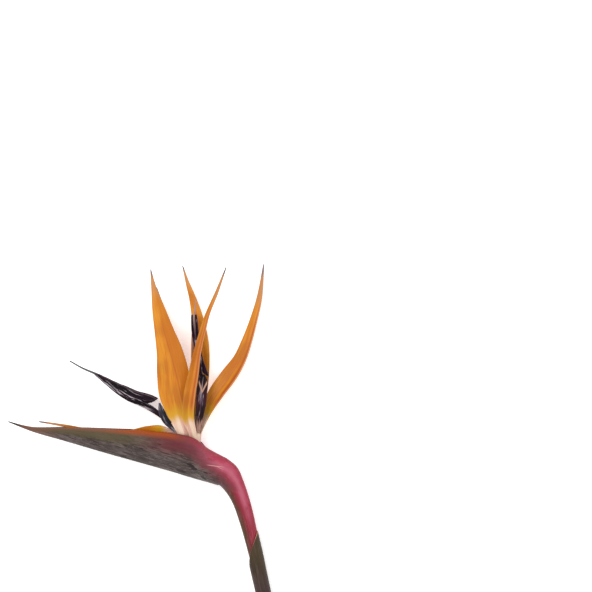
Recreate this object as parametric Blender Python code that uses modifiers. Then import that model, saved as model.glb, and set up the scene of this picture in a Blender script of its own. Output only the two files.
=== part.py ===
"""Bird of paradise flower: a cut head with two open florets, lying on its side.

Metres, +Z up, floor at z = 0. The spathe points to -X, the florets to +Y and the
cut stem to -Y. The origin is the middle of the flat spot under the spathe.
"""

import math
from dataclasses import dataclass

import bmesh
import bpy
from mathutils import Vector

MM = 0.001
COLLECTION = "bird_of_paradise_flower"

# Heights above the floor
SPATHE_AXIS_Z = 11.0

# Wall and blade thicknesses
SPATHE_WALL = 1.3
SEPAL_THICK = 0.9
PETAL_THICK = 0.8
SHEATH_THICK = 0.6

# How far from the tip a blade's fold starts to flatten, and the claw's edge beside a barb
TIP_FLAT = 0.2
BARB_ROOT = 0.35
BARB_FADE = 0.45
BARB_BLUNT = 0.6

# Spathe: rails of its rim and keel, from the neck joint to the tip (x, y)
SPATHE_RIM = ((27.8, -6.4), (14.0, 1.6), (8.4, 5.9), (1.5, 10.0), (-11.0, 12.8), (-34.0, 14.9),
              (-62.0, 16.0), (-92.0, 17.1), (-118.0, 17.3), (-136.5, 21.6))
SPATHE_KEEL = ((16.6, -25.8), (9.0, -23.6), (3.5, -21.8), (-4.0, -19.4), (-14.0, -16.3),
               (-36.0, -10.1), (-64.0, -2.2), (-94.0, 6.6), (-118.0, 13.5), (-136.5, 20.8))
SPATHE_HALF_WIDTH = (9.5, 11.2, 12.1, 12.4, 12.0, 10.4, 7.6, 4.6, 2.1, 0.8)
SLIT_HALF_GAP = (0.2, 0.25, 5.4, 5.7, 5.7, 4.2, 2.9, 1.8, 0.7, 0.15)
KEEL_WALL = (1.6, 1.6, 1.6, 1.6, 1.6, 1.6, 1.5, 1.6, 2.0, 0.35)
SPATHE_STATIONS = 28
SPATHE_SIDE_POINTS = 8

# Stem: centreline, and half sizes in the plane of the bend and across it
STEM_PATH = ((74.4, -196.0, 5.85), (64.2, -150.0, 5.85), (54.2, -104.0, 5.85), (46.6, -68.0, 6.5),
             (42.3, -50.0, 7.4), (38.6, -38.0, 8.7), (33.8, -27.8, 9.9), (28.2, -19.6, 10.6),
             (22.6, -16.35, 11.0))
STEM_IN_PLANE = (3.9, 3.9, 3.9, 4.5, 5.2, 5.8, 7.1, 9.4, 11.3)
STEM_ACROSS = (3.9, 3.9, 3.9, 4.5, 5.1, 5.6, 6.6, 8.3, 9.3)
STEM_LOWER_R = 3.9
STEM_STATIONS = 30
STEM_SIDES = 16
JOINT_EASE = 0.16

# Receptacle: the stem's inner end, inside the spathe
CORE_PATH = ((22.3, -16.2, 11.0), (15.0, -11.6, 11.0), (6.0, -6.2, 11.0), (-7.0, -2.0, 11.0))
CORE_IN_PLANE = (6.0, 6.8, 6.6, 4.6)
CORE_ACROSS = (5.0, 6.0, 6.0, 4.6)

# Sheath: a bract wound once and a bit round the lower stem
SHEATH_TURN = math.radians(400.0)
SHEATH_MARGIN = math.radians(165.0)
SHEATH_OUTER_R = 5.5
SHEATH_PITCH = 0.95
SHEATH_TIP_AT = 0.415
SHEATH_DROP = 0.15
SHEATH_TIP_PLACE = 0.41

# Floral bases: foot and top of each pale tube
FLORET_BASES = {
    "floret_base_first": ((-3.6, 4.3, 11.0), (-4.6, 12.7, 11.0)),
    "floret_base_second": ((4.3, 2.2, 11.0), (4.7, 12.4, 11.0)),
}
BASE_HALF_X = 3.75
BASE_HALF_Z = 4.7

COLOURS = {
    "stem": (0.36, 0.09, 0.10, 1.0),
    "sheath": (0.15, 0.14, 0.09, 1.0),
    "spathe": (0.16, 0.11, 0.11, 1.0),
    "floret_base": (0.78, 0.60, 0.46, 1.0),
    "sepal": (0.76, 0.24, 0.02, 1.0),
    "arrow": (0.02, 0.012, 0.04, 1.0),
    "hood": (0.04, 0.035, 0.08, 1.0),
    "style": (0.03, 0.02, 0.04, 1.0),
    "stamens": (0.62, 0.44, 0.38, 1.0),
}


@dataclass
class Blade:
    """A long leaf-like piece on a path of rows: x, y, z and half width, from root to tip."""

    rows: tuple
    fold: float = 16.0
    facing: tuple = (0.0, 0.0, 1.0)
    tip_facing: tuple = None
    thick: float = SEPAL_THICK
    flat_from: float = TIP_FLAT
    limb: tuple = None
    barb_at: float = None
    barb_back: float = 0.0
    stations: int = 17
    across: int = 4


SEPALS = {
    "sepal_left": Blade(((-4.8, 13.4, 16.0, 4.5), (-8.6, 27.0, 17.4, 8.2),
                         (-11.5, 42.0, 18.9, 11.6), (-12.4, 57.0, 20.3, 12.2),
                         (-14.6, 73.0, 21.5, 10.1), (-18.5, 88.7, 22.6, 7.5),
                         (-22.3, 104.0, 23.6, 5.2), (-25.8, 120.0, 24.4, 2.3),
                         (-28.4, 135.4, 24.9, 0.35)),
                        fold=12.0, facing=(0.0, 0.0, -1.0)),
    "sepal_rear": Blade(((-4.6, 13.4, 6.4, 3.7), (-9.0, 31.0, 6.0, 7.6), (-11.8, 49.0, 5.6, 9.2),
                         (-14.2, 67.0, 5.3, 8.2), (-18.0, 86.0, 5.0, 5.8),
                         (-22.0, 104.0, 4.7, 3.2), (-25.6, 122.0, 4.4, 0.35)),
                        fold=10.0),
    "sepal_slit": Blade(((-9.5, 11.6, 11.0, 2.4), (-22.0, 10.8, 11.0, 8.8),
                         (-34.0, 11.2, 11.0, 7.6), (-46.0, 12.0, 11.0, 3.6),
                         (-62.0, 13.4, 11.0, 2.2), (-78.0, 14.9, 11.0, 1.8),
                         (-94.0, 17.1, 11.0, 1.6), (-114.0, 21.0, 11.0, 0.4)),
                        fold=66.0, facing=(0.0, 1.0, 0.0), flat_from=0.5, stations=19),
    "sepal_back": Blade(((5.2, 13.0, 6.2, 3.5), (6.0, 30.0, 4.8, 4.6), (7.0, 47.0, 4.2, 6.2),
                         (7.4, 63.0, 3.9, 7.0), (7.1, 80.0, 3.6, 6.7), (5.4, 97.0, 3.3, 4.7),
                         (2.0, 112.0, 3.2, 2.9), (-2.6, 126.0, 2.9, 1.4),
                         (-6.2, 138.5, 2.6, 0.35)),
                        fold=10.0),
    "sepal_front": Blade(((1.8, 13.1, 15.2, 3.2), (-1.3, 26.0, 18.8, 4.7),
                          (-0.1, 42.0, 20.6, 4.9), (2.7, 57.0, 21.6, 4.4),
                          (5.5, 72.0, 22.2, 3.3), (9.4, 87.0, 22.6, 2.1),
                          (13.8, 102.5, 23.0, 1.25), (20.4, 118.0, 23.2, 1.05),
                          (27.6, 137.0, 23.3, 0.35)),
                         fold=28.0, facing=(0.2, 0.0, 1.0)),
    "sepal_right": Blade(((7.6, 13.2, 9.4, 2.5), (13.9, 29.6, 8.2, 5.6), (21.2, 42.6, 7.2, 7.4),
                          (30.2, 55.2, 6.0, 7.4), (37.5, 67.3, 4.8, 5.6), (42.7, 81.0, 3.6, 4.5),
                          (47.6, 97.0, 2.6, 3.2), (52.0, 115.0, 1.6, 2.1),
                          (55.0, 139.6, 0.6, 0.35)),
                         fold=20.0, facing=(-0.5, 0.3, 0.8), tip_facing=(0.0, 0.0, 1.0)),
}

ARROWS = {
    "arrow_first": Blade(((-8.2, 13.8, 10.0, 2.0), (-15.5, 19.2, 10.0, 2.8),
                          (-22.8, 24.6, 10.1, 3.2), (-30.6, 29.7, 10.2, 3.4),
                          (-38.5, 34.0, 10.3, 3.4), (-46.6, 37.6, 10.4, 3.0),
                          (-55.0, 43.0, 10.4, 2.8), (-63.4, 49.4, 10.5, 2.0),
                          (-71.6, 56.6, 10.6, 0.6)),
                         fold=62.0, facing=(0.5, 0.87, 0.0), thick=PETAL_THICK,
                         limb=(13.0, 8.2, 6.6, 5.6, 4.3, 0.9), barb_at=0.5, barb_back=11.0),
    "arrow_second": Blade(((5.2, 13.2, 10.8, 2.0), (6.6, 28.0, 11.0, 2.6), (7.6, 42.0, 11.2, 2.8),
                           (7.4, 54.0, 11.4, 2.8), (6.3, 66.0, 11.6, 2.6), (5.0, 79.0, 11.9, 2.2),
                           (3.7, 91.0, 12.1, 1.8), (3.0, 101.5, 12.3, 1.4)),
                          fold=30.0, thick=PETAL_THICK,
                          limb=(8.1, 4.6, 3.2, 3.1, 2.7, 2.1), barb_at=0.54, barb_back=8.0),
}

HOODS = {
    "hood_first": Blade(((-8.4, 13.6, 13.5, 1.5), (-13.2, 17.5, 13.7, 2.0),
                         (-18.0, 22.6, 13.9, 2.4), (-20.9, 28.8, 13.8, 2.1),
                         (-22.9, 35.4, 13.7, 0.6)),
                        fold=16.0, thick=PETAL_THICK, stations=9),
    "hood_second": Blade(((6.2, 13.3, 13.6, 1.0), (6.8, 20.0, 13.9, 1.9), (7.5, 27.0, 14.3, 2.8),
                          (8.1, 35.0, 14.8, 3.8), (8.5, 43.0, 15.2, 3.8), (9.0, 50.0, 15.4, 1.4)),
                         fold=14.0, thick=PETAL_THICK, stations=9),
}

# Rods in each arrow's groove: the arrow, where along it the rod starts and ends, its height
# over the fold, its radii and, for a style, the free end past the arrow's tip
RODS = {
    "stamens_first": ("arrow_first", 0.55, 0.80, 3.1, (0.6, 0.8, 0.6), ()),
    "style_first": ("arrow_first", 0.84, 0.98, 2.6, (0.5, 0.8, 0.9, 0.55, 0.4),
                    ((-80.5, 61.2, 10.6), (-90.6, 66.9, 10.6))),
    "stamens_second": ("arrow_second", 0.56, 0.76, 2.2, (0.6, 0.8, 0.5), ()),
    "style_second": ("arrow_second", 0.80, 0.97, 2.0, (0.5, 0.7, 0.8, 0.6, 0.4),
                     ((3.9, 106.0, 14.2), (4.9, 113.6, 14.4))),
}


def clear_scene():
    """Remove every object that is already in the scene."""
    for old in list(bpy.data.objects):
        bpy.data.objects.remove(old, do_unlink=True)


def make_collection():
    """Return a new collection, linked to the scene, for the flower's pieces."""
    flower = bpy.data.collections.new(COLLECTION)
    bpy.context.scene.collection.children.link(flower)
    return flower


def make_material(name, colour, roughness):
    """Return a Principled material of one colour."""
    material = bpy.data.materials.new(name)
    material.use_nodes = True
    shader = material.node_tree.nodes["Principled BSDF"]
    shader.inputs["Base Color"].default_value = colour
    shader.inputs["Roughness"].default_value = roughness
    shader.inputs["Metallic"].default_value = 0.0
    return material


def smooth_value(values, at):
    """Return a Catmull-Rom value at 0..1 along a row of numbers or vectors."""
    last = len(values) - 1
    place = min(max(at, 0.0), 1.0) * last
    index = min(int(place), last - 1)
    t = place - index
    p0 = values[max(index - 1, 0)]
    p1 = values[index]
    p2 = values[index + 1]
    p3 = values[min(index + 2, last)]
    bend = (p1 * 3.0 - p0 - p2 * 3.0 + p3) * (t * t * t)
    sag = (p0 * 2.0 - p1 * 5.0 + p2 * 4.0 - p3) * (t * t)
    return (p1 * 2.0 + (p2 - p0) * t + sag + bend) * 0.5


def linear_value(values, at):
    """Return the straight-line value at 0..1 along a row of numbers."""
    last = len(values) - 1
    place = min(max(at, 0.0), 1.0) * last
    index = min(int(place), last - 1)
    t = place - index
    return values[index] * (1.0 - t) + values[index + 1] * t


def add_object(name, mesh, material, flower):
    """Put a finished mesh in the flower's collection as one piece."""
    mesh.materials.append(material)
    piece = bpy.data.objects.new(name, mesh)
    flower.objects.link(piece)
    mesh.shade_smooth()
    mesh.set_sharp_from_angle(angle=math.radians(50.0))
    return piece


def mesh_from(bm, name):
    """Turn a bmesh into a mesh with its normals pointing out."""
    bmesh.ops.recalc_face_normals(bm, faces=bm.faces[:])
    mesh = bpy.data.meshes.new(name)
    bm.to_mesh(mesh)
    bm.free()
    return mesh


def bridge(bm, ring_a, ring_b):
    """Join two closed rings of vertices with quads."""
    count = len(ring_a)
    for i in range(count):
        j = (i + 1) % count
        bm.faces.new((ring_a[i], ring_a[j], ring_b[j], ring_b[i]))


def blade_centre(blade, u):
    """Return the centreline point and unit tangent at u."""
    points = [Vector(row[:3]) for row in blade.rows]
    ahead = smooth_value(points, min(u + 0.012, 1.0))
    behind = smooth_value(points, max(u - 0.012, 0.0))
    return smooth_value(points, u), (ahead - behind).normalized()


def row_half(blade, u):
    """Return the half width at u along the rows; on an arrow this is its claw's."""
    return smooth_value([row[3] for row in blade.rows], u)


def lance(blade, u):
    """Return the half width at u: the rows', or an arrow's claw and then its limb."""
    if blade.barb_at is None:
        return row_half(blade, u)
    if u < blade.barb_at:
        return row_half(blade, u) + BARB_ROOT
    return smooth_value(blade.limb, (u - blade.barb_at) / (1.0 - blade.barb_at))


def barb_offset(blade, u, v):
    """Return (distance from the fold, sweep back) on an arrow: claw inside, barb outside."""
    outer = lance(blade, u)
    inner = min(row_half(blade, u), outer * 0.5)
    share = max(0.0, abs(v) * 2.0 - 1.0)
    offset = inner * min(abs(v) * 2.0, 1.0) + (outer - inner) * share
    if u < blade.barb_at:
        return offset, 0.0
    past = (u - blade.barb_at) / (1.0 - blade.barb_at)
    fade = max(0.0, 1.0 - past / BARB_FADE) ** 1.7
    return offset, blade.barb_back * fade * share ** BARB_BLUNT


def blade_stations(blade):
    """Return the places along a blade where its sections stand."""
    rows = blade.stations
    even = [i / (rows - 1) for i in range(rows)]
    if blade.barb_at is None:
        return even
    near = min(range(rows), key=lambda i: abs(even[i] - blade.barb_at))
    even[near] = blade.barb_at
    even[near - 1] = blade.barb_at - 0.012
    return even


def blade_point(blade, u, v):
    """Return the point of the folded surface at u along and v (-1 to 1) across."""
    centre, tangent = blade_centre(blade, u)
    facing = Vector(blade.facing)
    if blade.tip_facing is not None:
        facing = facing.lerp(Vector(blade.tip_facing), u)
    normal = (facing - tangent * facing.dot(tangent)).normalized()
    side = tangent.cross(normal)
    offset = abs(v) * lance(blade, u)
    back = 0.0
    if blade.barb_at is not None:
        offset, back = barb_offset(blade, u, v)
    fold = math.radians(blade.fold) * min(1.0, (1.0 - u) / blade.flat_from)
    point = centre + side * (math.copysign(offset, v) * math.cos(fold))
    return point + normal * (offset * math.sin(fold)) - tangent * back


def build_blade(name, blade, material, flower):
    """Build a blade as an open folded grid with thickness."""
    places = blade_stations(blade)
    bm = bmesh.new()
    bmesh.ops.create_grid(bm, x_segments=blade.across, y_segments=blade.stations - 1, size=0.5)
    for vert in bm.verts:
        row = round((vert.co.y + 0.5) * (blade.stations - 1))
        v = vert.co.x * 2.0
        vert.co = blade_point(blade, places[row], v) * MM
    bmesh.ops.triangulate(bm, faces=bm.faces[:])
    mesh = bpy.data.meshes.new(name)
    bm.to_mesh(mesh)
    bm.free()
    piece = add_object(name, mesh, material, flower)
    shell = piece.modifiers.new("thickness", "SOLIDIFY")
    shell.thickness = blade.thick * MM
    shell.offset = 0.0
    return piece


def rod_points(arrow, start, end, rise, free_end):
    """Return points along an arrow's groove, and then on to its free end."""
    facing = Vector(arrow.facing)
    points = []
    for share in (0.0, 0.5, 1.0):
        centre, tangent = blade_centre(arrow, start + (end - start) * share)
        normal = (facing - tangent * facing.dot(tangent)).normalized()
        points.append(centre + normal * rise)
    return points + [Vector(point) for point in free_end]


def build_rod(name, points, radii, material, flower):
    """Build a thin tapered rod as a curve with filled caps."""
    curve = bpy.data.curves.new(name, "CURVE")
    curve.dimensions = "3D"
    curve.bevel_depth = MM
    curve.bevel_resolution = 2
    curve.use_fill_caps = True
    steps = 9
    spline = curve.splines.new("POLY")
    spline.points.add(steps - 1)
    for i in range(steps):
        at = i / (steps - 1)
        place = smooth_value(points, at) * MM
        spline.points[i].co = (place.x, place.y, place.z, 1.0)
        spline.points[i].radius = linear_value(radii, at)
    curve.materials.append(material)
    piece = bpy.data.objects.new(name, curve)
    flower.objects.link(piece)
    return piece


def spathe_side(at, t, inner):
    """Return (share of height, half width) of the flank at t from keel 0 to rim 1."""
    half = smooth_value(SPATHE_HALF_WIDTH, at)
    gap = linear_value(SLIT_HALF_GAP, at)
    wall = min(SPATHE_WALL, 0.2 + 0.6 * half)
    lip = gap + wall
    bulge = math.sin(math.pi * t ** 1.05) ** 0.8 if 0.0 < t < 1.0 else 0.0
    swell = max(half - 0.45 * lip, 0.0) * bulge
    outer = min(swell + lip * t ** 1.5, SPATHE_AXIS_Z)
    if not inner:
        return outer
    return max(outer - wall, 0.15 * t) if t > 0.0 else 0.0


def spathe_section(at):
    """Return the closed U of points of one section: the outer side, then the inner side."""
    rim = smooth_value([Vector(p) for p in SPATHE_RIM], at)
    keel = smooth_value([Vector(p) for p in SPATHE_KEEL], at)
    lift = linear_value(KEEL_WALL, at)
    height = (rim - keel).length
    floor_point = keel.lerp(rim, min(lift / height, 0.75))
    count = SPATHE_SIDE_POINTS
    points = []
    for inner in (False, True):
        low = floor_point if inner else keel
        for i in range(-count, count + 1):
            t = abs(i) / count
            place = low.lerp(rim, t)
            side = math.copysign(spathe_side(at, t, inner), -i if inner else i)
            points.append(Vector((place.x, place.y, SPATHE_AXIS_Z + side)) * MM)
    return points


def build_spathe(material, flower):
    """Build the folded hollow bract, open along its slit and at its neck."""
    bm = bmesh.new()
    rings = []
    for i in range(SPATHE_STATIONS):
        at = i / (SPATHE_STATIONS - 1)
        rings.append([bm.verts.new(point) for point in spathe_section(at)])
    for ring_a, ring_b in zip(rings, rings[1:]):
        bridge(bm, ring_a, ring_b)
    half = len(rings[0]) // 2
    for ring in (rings[0], rings[-1]):
        outer = ring[:half]
        inner = ring[half:][::-1]
        for i in range(half - 1):
            bm.faces.new((outer[i], outer[i + 1], inner[i + 1], inner[i]))
    bmesh.ops.triangulate(bm, faces=bm.faces[:])
    return add_object("spathe", mesh_from(bm, "spathe"), material, flower)


def tube_ring(centre, tangent, in_plane, across):
    """Return an ellipse of points round a centre, flat across the tangent."""
    side = Vector((0.0, 0.0, 1.0)).cross(tangent).normalized()
    up = tangent.cross(side)
    points = []
    for i in range(STEM_SIDES):
        turn = 2.0 * math.pi * i / STEM_SIDES
        points.append((centre + side * (in_plane * math.cos(turn)) + up * (across * math.sin(turn))) * MM)
    return points


def joint_normal():
    """Return the direction from the neck into the spathe, square to their joint."""
    line = Vector(SPATHE_RIM[0]) - Vector(SPATHE_KEEL[0])
    return Vector((-line.y, line.x, 0.0)).normalized()


def stem_tangent(vectors, at, joint_share):
    """Return the direction of a stem path, eased towards the joint's by the share given."""
    ahead = smooth_value(vectors, min(at + 0.01, 1.0))
    behind = smooth_value(vectors, max(at - 0.01, 0.0))
    along = (ahead - behind).normalized()
    return (along * (1.0 - joint_share) + joint_normal() * joint_share).normalized()


def path_rings(path, in_plane, across, steps, joint_at):
    """Return the sections along one path, the ones nearest its joint end square to the joint."""
    vectors = [Vector(point) for point in path]
    rings = []
    for i in range(steps):
        at = i / (steps - 1)
        joint_share = max(0.0, 1.0 - abs(joint_at - at) / JOINT_EASE)
        rings.append(tube_ring(smooth_value(vectors, at),
                               stem_tangent(vectors, at, joint_share),
                               smooth_value(in_plane, at), smooth_value(across, at)))
    return rings


def stem_rings():
    """Return the stem's sections from the cut end through the neck into the spathe."""
    rings = path_rings(STEM_PATH, STEM_IN_PLANE, STEM_ACROSS, STEM_STATIONS, 1.0)
    return rings + path_rings(CORE_PATH, CORE_IN_PLANE, CORE_ACROSS, 8, 0.0)


def build_stem(material, flower):
    """Build the peduncle, its bent neck and the receptacle as one solid."""
    bm = bmesh.new()
    rings = [[bm.verts.new(point) for point in ring] for ring in stem_rings()]
    for ring_a, ring_b in zip(rings, rings[1:]):
        bridge(bm, ring_a, ring_b)
    bm.faces.new(rings[0])
    bm.faces.new(rings[-1])
    bmesh.ops.triangulate(bm, faces=bm.faces[:])
    return add_object("stem", mesh_from(bm, "stem"), material, flower)


def sheath_point(u, v):
    """Return the sheath's middle surface at u along the stem and v round it."""
    far = abs(v - SHEATH_TIP_PLACE) / (1.0 - SHEATH_TIP_PLACE)
    along = u * (SHEATH_TIP_AT - SHEATH_DROP * far ** 1.2)
    vectors = [Vector(point) for point in STEM_PATH]
    centre = smooth_value(vectors, along)
    ahead = smooth_value(vectors, along + 0.01)
    tangent = (ahead - centre).normalized()
    side = tangent.cross(Vector((0.0, 0.0, 1.0))).normalized()
    up = side.cross(tangent)
    turn = SHEATH_MARGIN - SHEATH_TURN * v
    radius = SHEATH_OUTER_R - SHEATH_PITCH * v + smooth_value(STEM_ACROSS, along) - STEM_LOWER_R
    return centre + side * (radius * math.cos(turn)) + up * (radius * math.sin(turn))


def build_sheath(material, flower):
    """Build the bract wound round the lower stem, with a pointed top."""
    bm = bmesh.new()
    bmesh.ops.create_grid(bm, x_segments=26, y_segments=12, size=0.5)
    for vert in bm.verts:
        vert.co = sheath_point(vert.co.y + 0.5, vert.co.x + 0.5) * MM
    bmesh.ops.triangulate(bm, faces=bm.faces[:])
    mesh = bpy.data.meshes.new("sheath")
    bm.to_mesh(mesh)
    bm.free()
    piece = add_object("sheath", mesh, material, flower)
    shell = piece.modifiers.new("thickness", "SOLIDIFY")
    shell.thickness = SHEATH_THICK * MM
    shell.offset = 0.0
    return piece


def build_floret_base(name, foot, top, material, flower):
    """Build a pale floral tube as an oval cone frustum between two points."""
    foot = Vector(foot) * MM
    top = Vector(top) * MM
    bm = bmesh.new()
    bmesh.ops.create_cone(bm, cap_ends=True, segments=16, radius1=0.86, radius2=1.0,
                          depth=(top - foot).length)
    for vert in bm.verts:
        vert.co.x *= BASE_HALF_X * MM
        vert.co.y *= BASE_HALF_Z * MM
    mesh = mesh_from(bm, name)
    piece = add_object(name, mesh, material, flower)
    piece.location = (foot + top) / 2.0
    lean = math.atan2(foot.x - top.x, top.y - foot.y)
    piece.rotation_euler = (-math.pi / 2.0, 0.0, 0.0)
    piece.rotation_euler.rotate_axis("Y", lean)
    return piece


def main():
    """Build every piece of the flower head."""
    clear_scene()
    flower = make_collection()
    roughness = {"stem": 0.5, "sheath": 0.6, "spathe": 0.6, "floret_base": 0.5, "sepal": 0.5,
                 "arrow": 0.35, "hood": 0.4, "style": 0.5, "stamens": 0.6}
    materials = {name: make_material(name, colour, roughness[name])
                 for name, colour in COLOURS.items()}
    build_stem(materials["stem"], flower)
    build_sheath(materials["sheath"], flower)
    build_spathe(materials["spathe"], flower)
    for name, (foot, top) in FLORET_BASES.items():
        build_floret_base(name, foot, top, materials["floret_base"], flower)
    for group, key in ((SEPALS, "sepal"), (ARROWS, "arrow"), (HOODS, "hood")):
        for name, blade in group.items():
            build_blade(name, blade, materials[key], flower)
    for name, (arrow, start, end, rise, radii, free_end) in RODS.items():
        points = rod_points(ARROWS[arrow], start, end, rise, free_end)
        build_rod(name, points, radii, materials[name.split("_")[0]], flower)


main()
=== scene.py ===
"""A cut bird of paradise flower lying on its side: its surfaces, finishes, light and camera.

Lengths inside the classes are in millimetres and become metres in one place, make_mesh.
"""

import logging
import math
from dataclasses import dataclass, field
from enum import Enum
from typing import Any

import bpy
import numpy as np
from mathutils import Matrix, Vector


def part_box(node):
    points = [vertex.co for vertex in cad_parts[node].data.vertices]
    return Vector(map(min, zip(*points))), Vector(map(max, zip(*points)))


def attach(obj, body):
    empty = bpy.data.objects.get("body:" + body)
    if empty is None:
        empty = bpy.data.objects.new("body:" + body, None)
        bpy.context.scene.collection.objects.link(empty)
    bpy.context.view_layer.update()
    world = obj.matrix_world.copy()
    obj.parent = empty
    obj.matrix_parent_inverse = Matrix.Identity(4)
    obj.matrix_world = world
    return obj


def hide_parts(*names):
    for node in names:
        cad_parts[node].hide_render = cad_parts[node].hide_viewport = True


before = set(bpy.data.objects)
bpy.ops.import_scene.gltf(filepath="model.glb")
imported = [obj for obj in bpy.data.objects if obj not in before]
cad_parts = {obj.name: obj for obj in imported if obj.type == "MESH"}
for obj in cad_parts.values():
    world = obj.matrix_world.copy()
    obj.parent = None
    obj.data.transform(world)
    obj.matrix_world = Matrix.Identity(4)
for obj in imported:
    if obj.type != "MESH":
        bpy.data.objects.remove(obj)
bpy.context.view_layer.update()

logging.basicConfig(level=logging.INFO, format="%(message)s")
log = logging.getLogger("flower")

MM = 0.001
TO_MM = 1000.0
FULL_TURN = 2.0 * math.pi
SPATHE_AXIS_Z = 11.0

Array = np.ndarray
Piece = bpy.types.Object
Colour = tuple[float, float, float]
Point = tuple[float, float, float]
Pair = tuple[float, float]
Row = tuple[float, float, float, float]
Coats = list[tuple[Any, Any]]
Values = dict[Any, Any] | None
Material = bpy.types.Material


class Slot(Enum):
    """The record's material slots."""

    STEM = "stem_skin"
    SHEATH = "sheath_skin"
    SPATHE = "spathe_skin"
    FLESH = "pale_flesh"
    SEPAL = "sepal_orange"
    ARROW = "petal_violet"
    HOOD = "petal_blue_grey"
    STYLE = "style_dark"
    STAMEN = "stamen_cream"


# ---------------------------------------------------------------- shader kit


class Signal:
    """A number or colour socket that can stand in Python sums."""

    def __init__(self, kit: "Kit", socket: bpy.types.NodeSocket) -> None:
        """Wrap a node's output socket."""
        self.kit = kit
        self.socket = socket

    def __add__(self, other: Any) -> "Signal":
        """Return self + other."""
        return self.kit.math("ADD", self, other)

    def __radd__(self, other: Any) -> "Signal":
        """Return other + self."""
        return self.kit.math("ADD", other, self)

    def __sub__(self, other: Any) -> "Signal":
        """Return self - other."""
        return self.kit.math("SUBTRACT", self, other)

    def __rsub__(self, other: Any) -> "Signal":
        """Return other - self."""
        return self.kit.math("SUBTRACT", other, self)

    def __mul__(self, other: Any) -> "Signal":
        """Return self * other."""
        return self.kit.math("MULTIPLY", self, other)

    def __rmul__(self, other: Any) -> "Signal":
        """Return other * self."""
        return self.kit.math("MULTIPLY", other, self)

    def __abs__(self) -> "Signal":
        """Return the absolute value."""
        return self.kit.math("ABSOLUTE", self)


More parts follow.
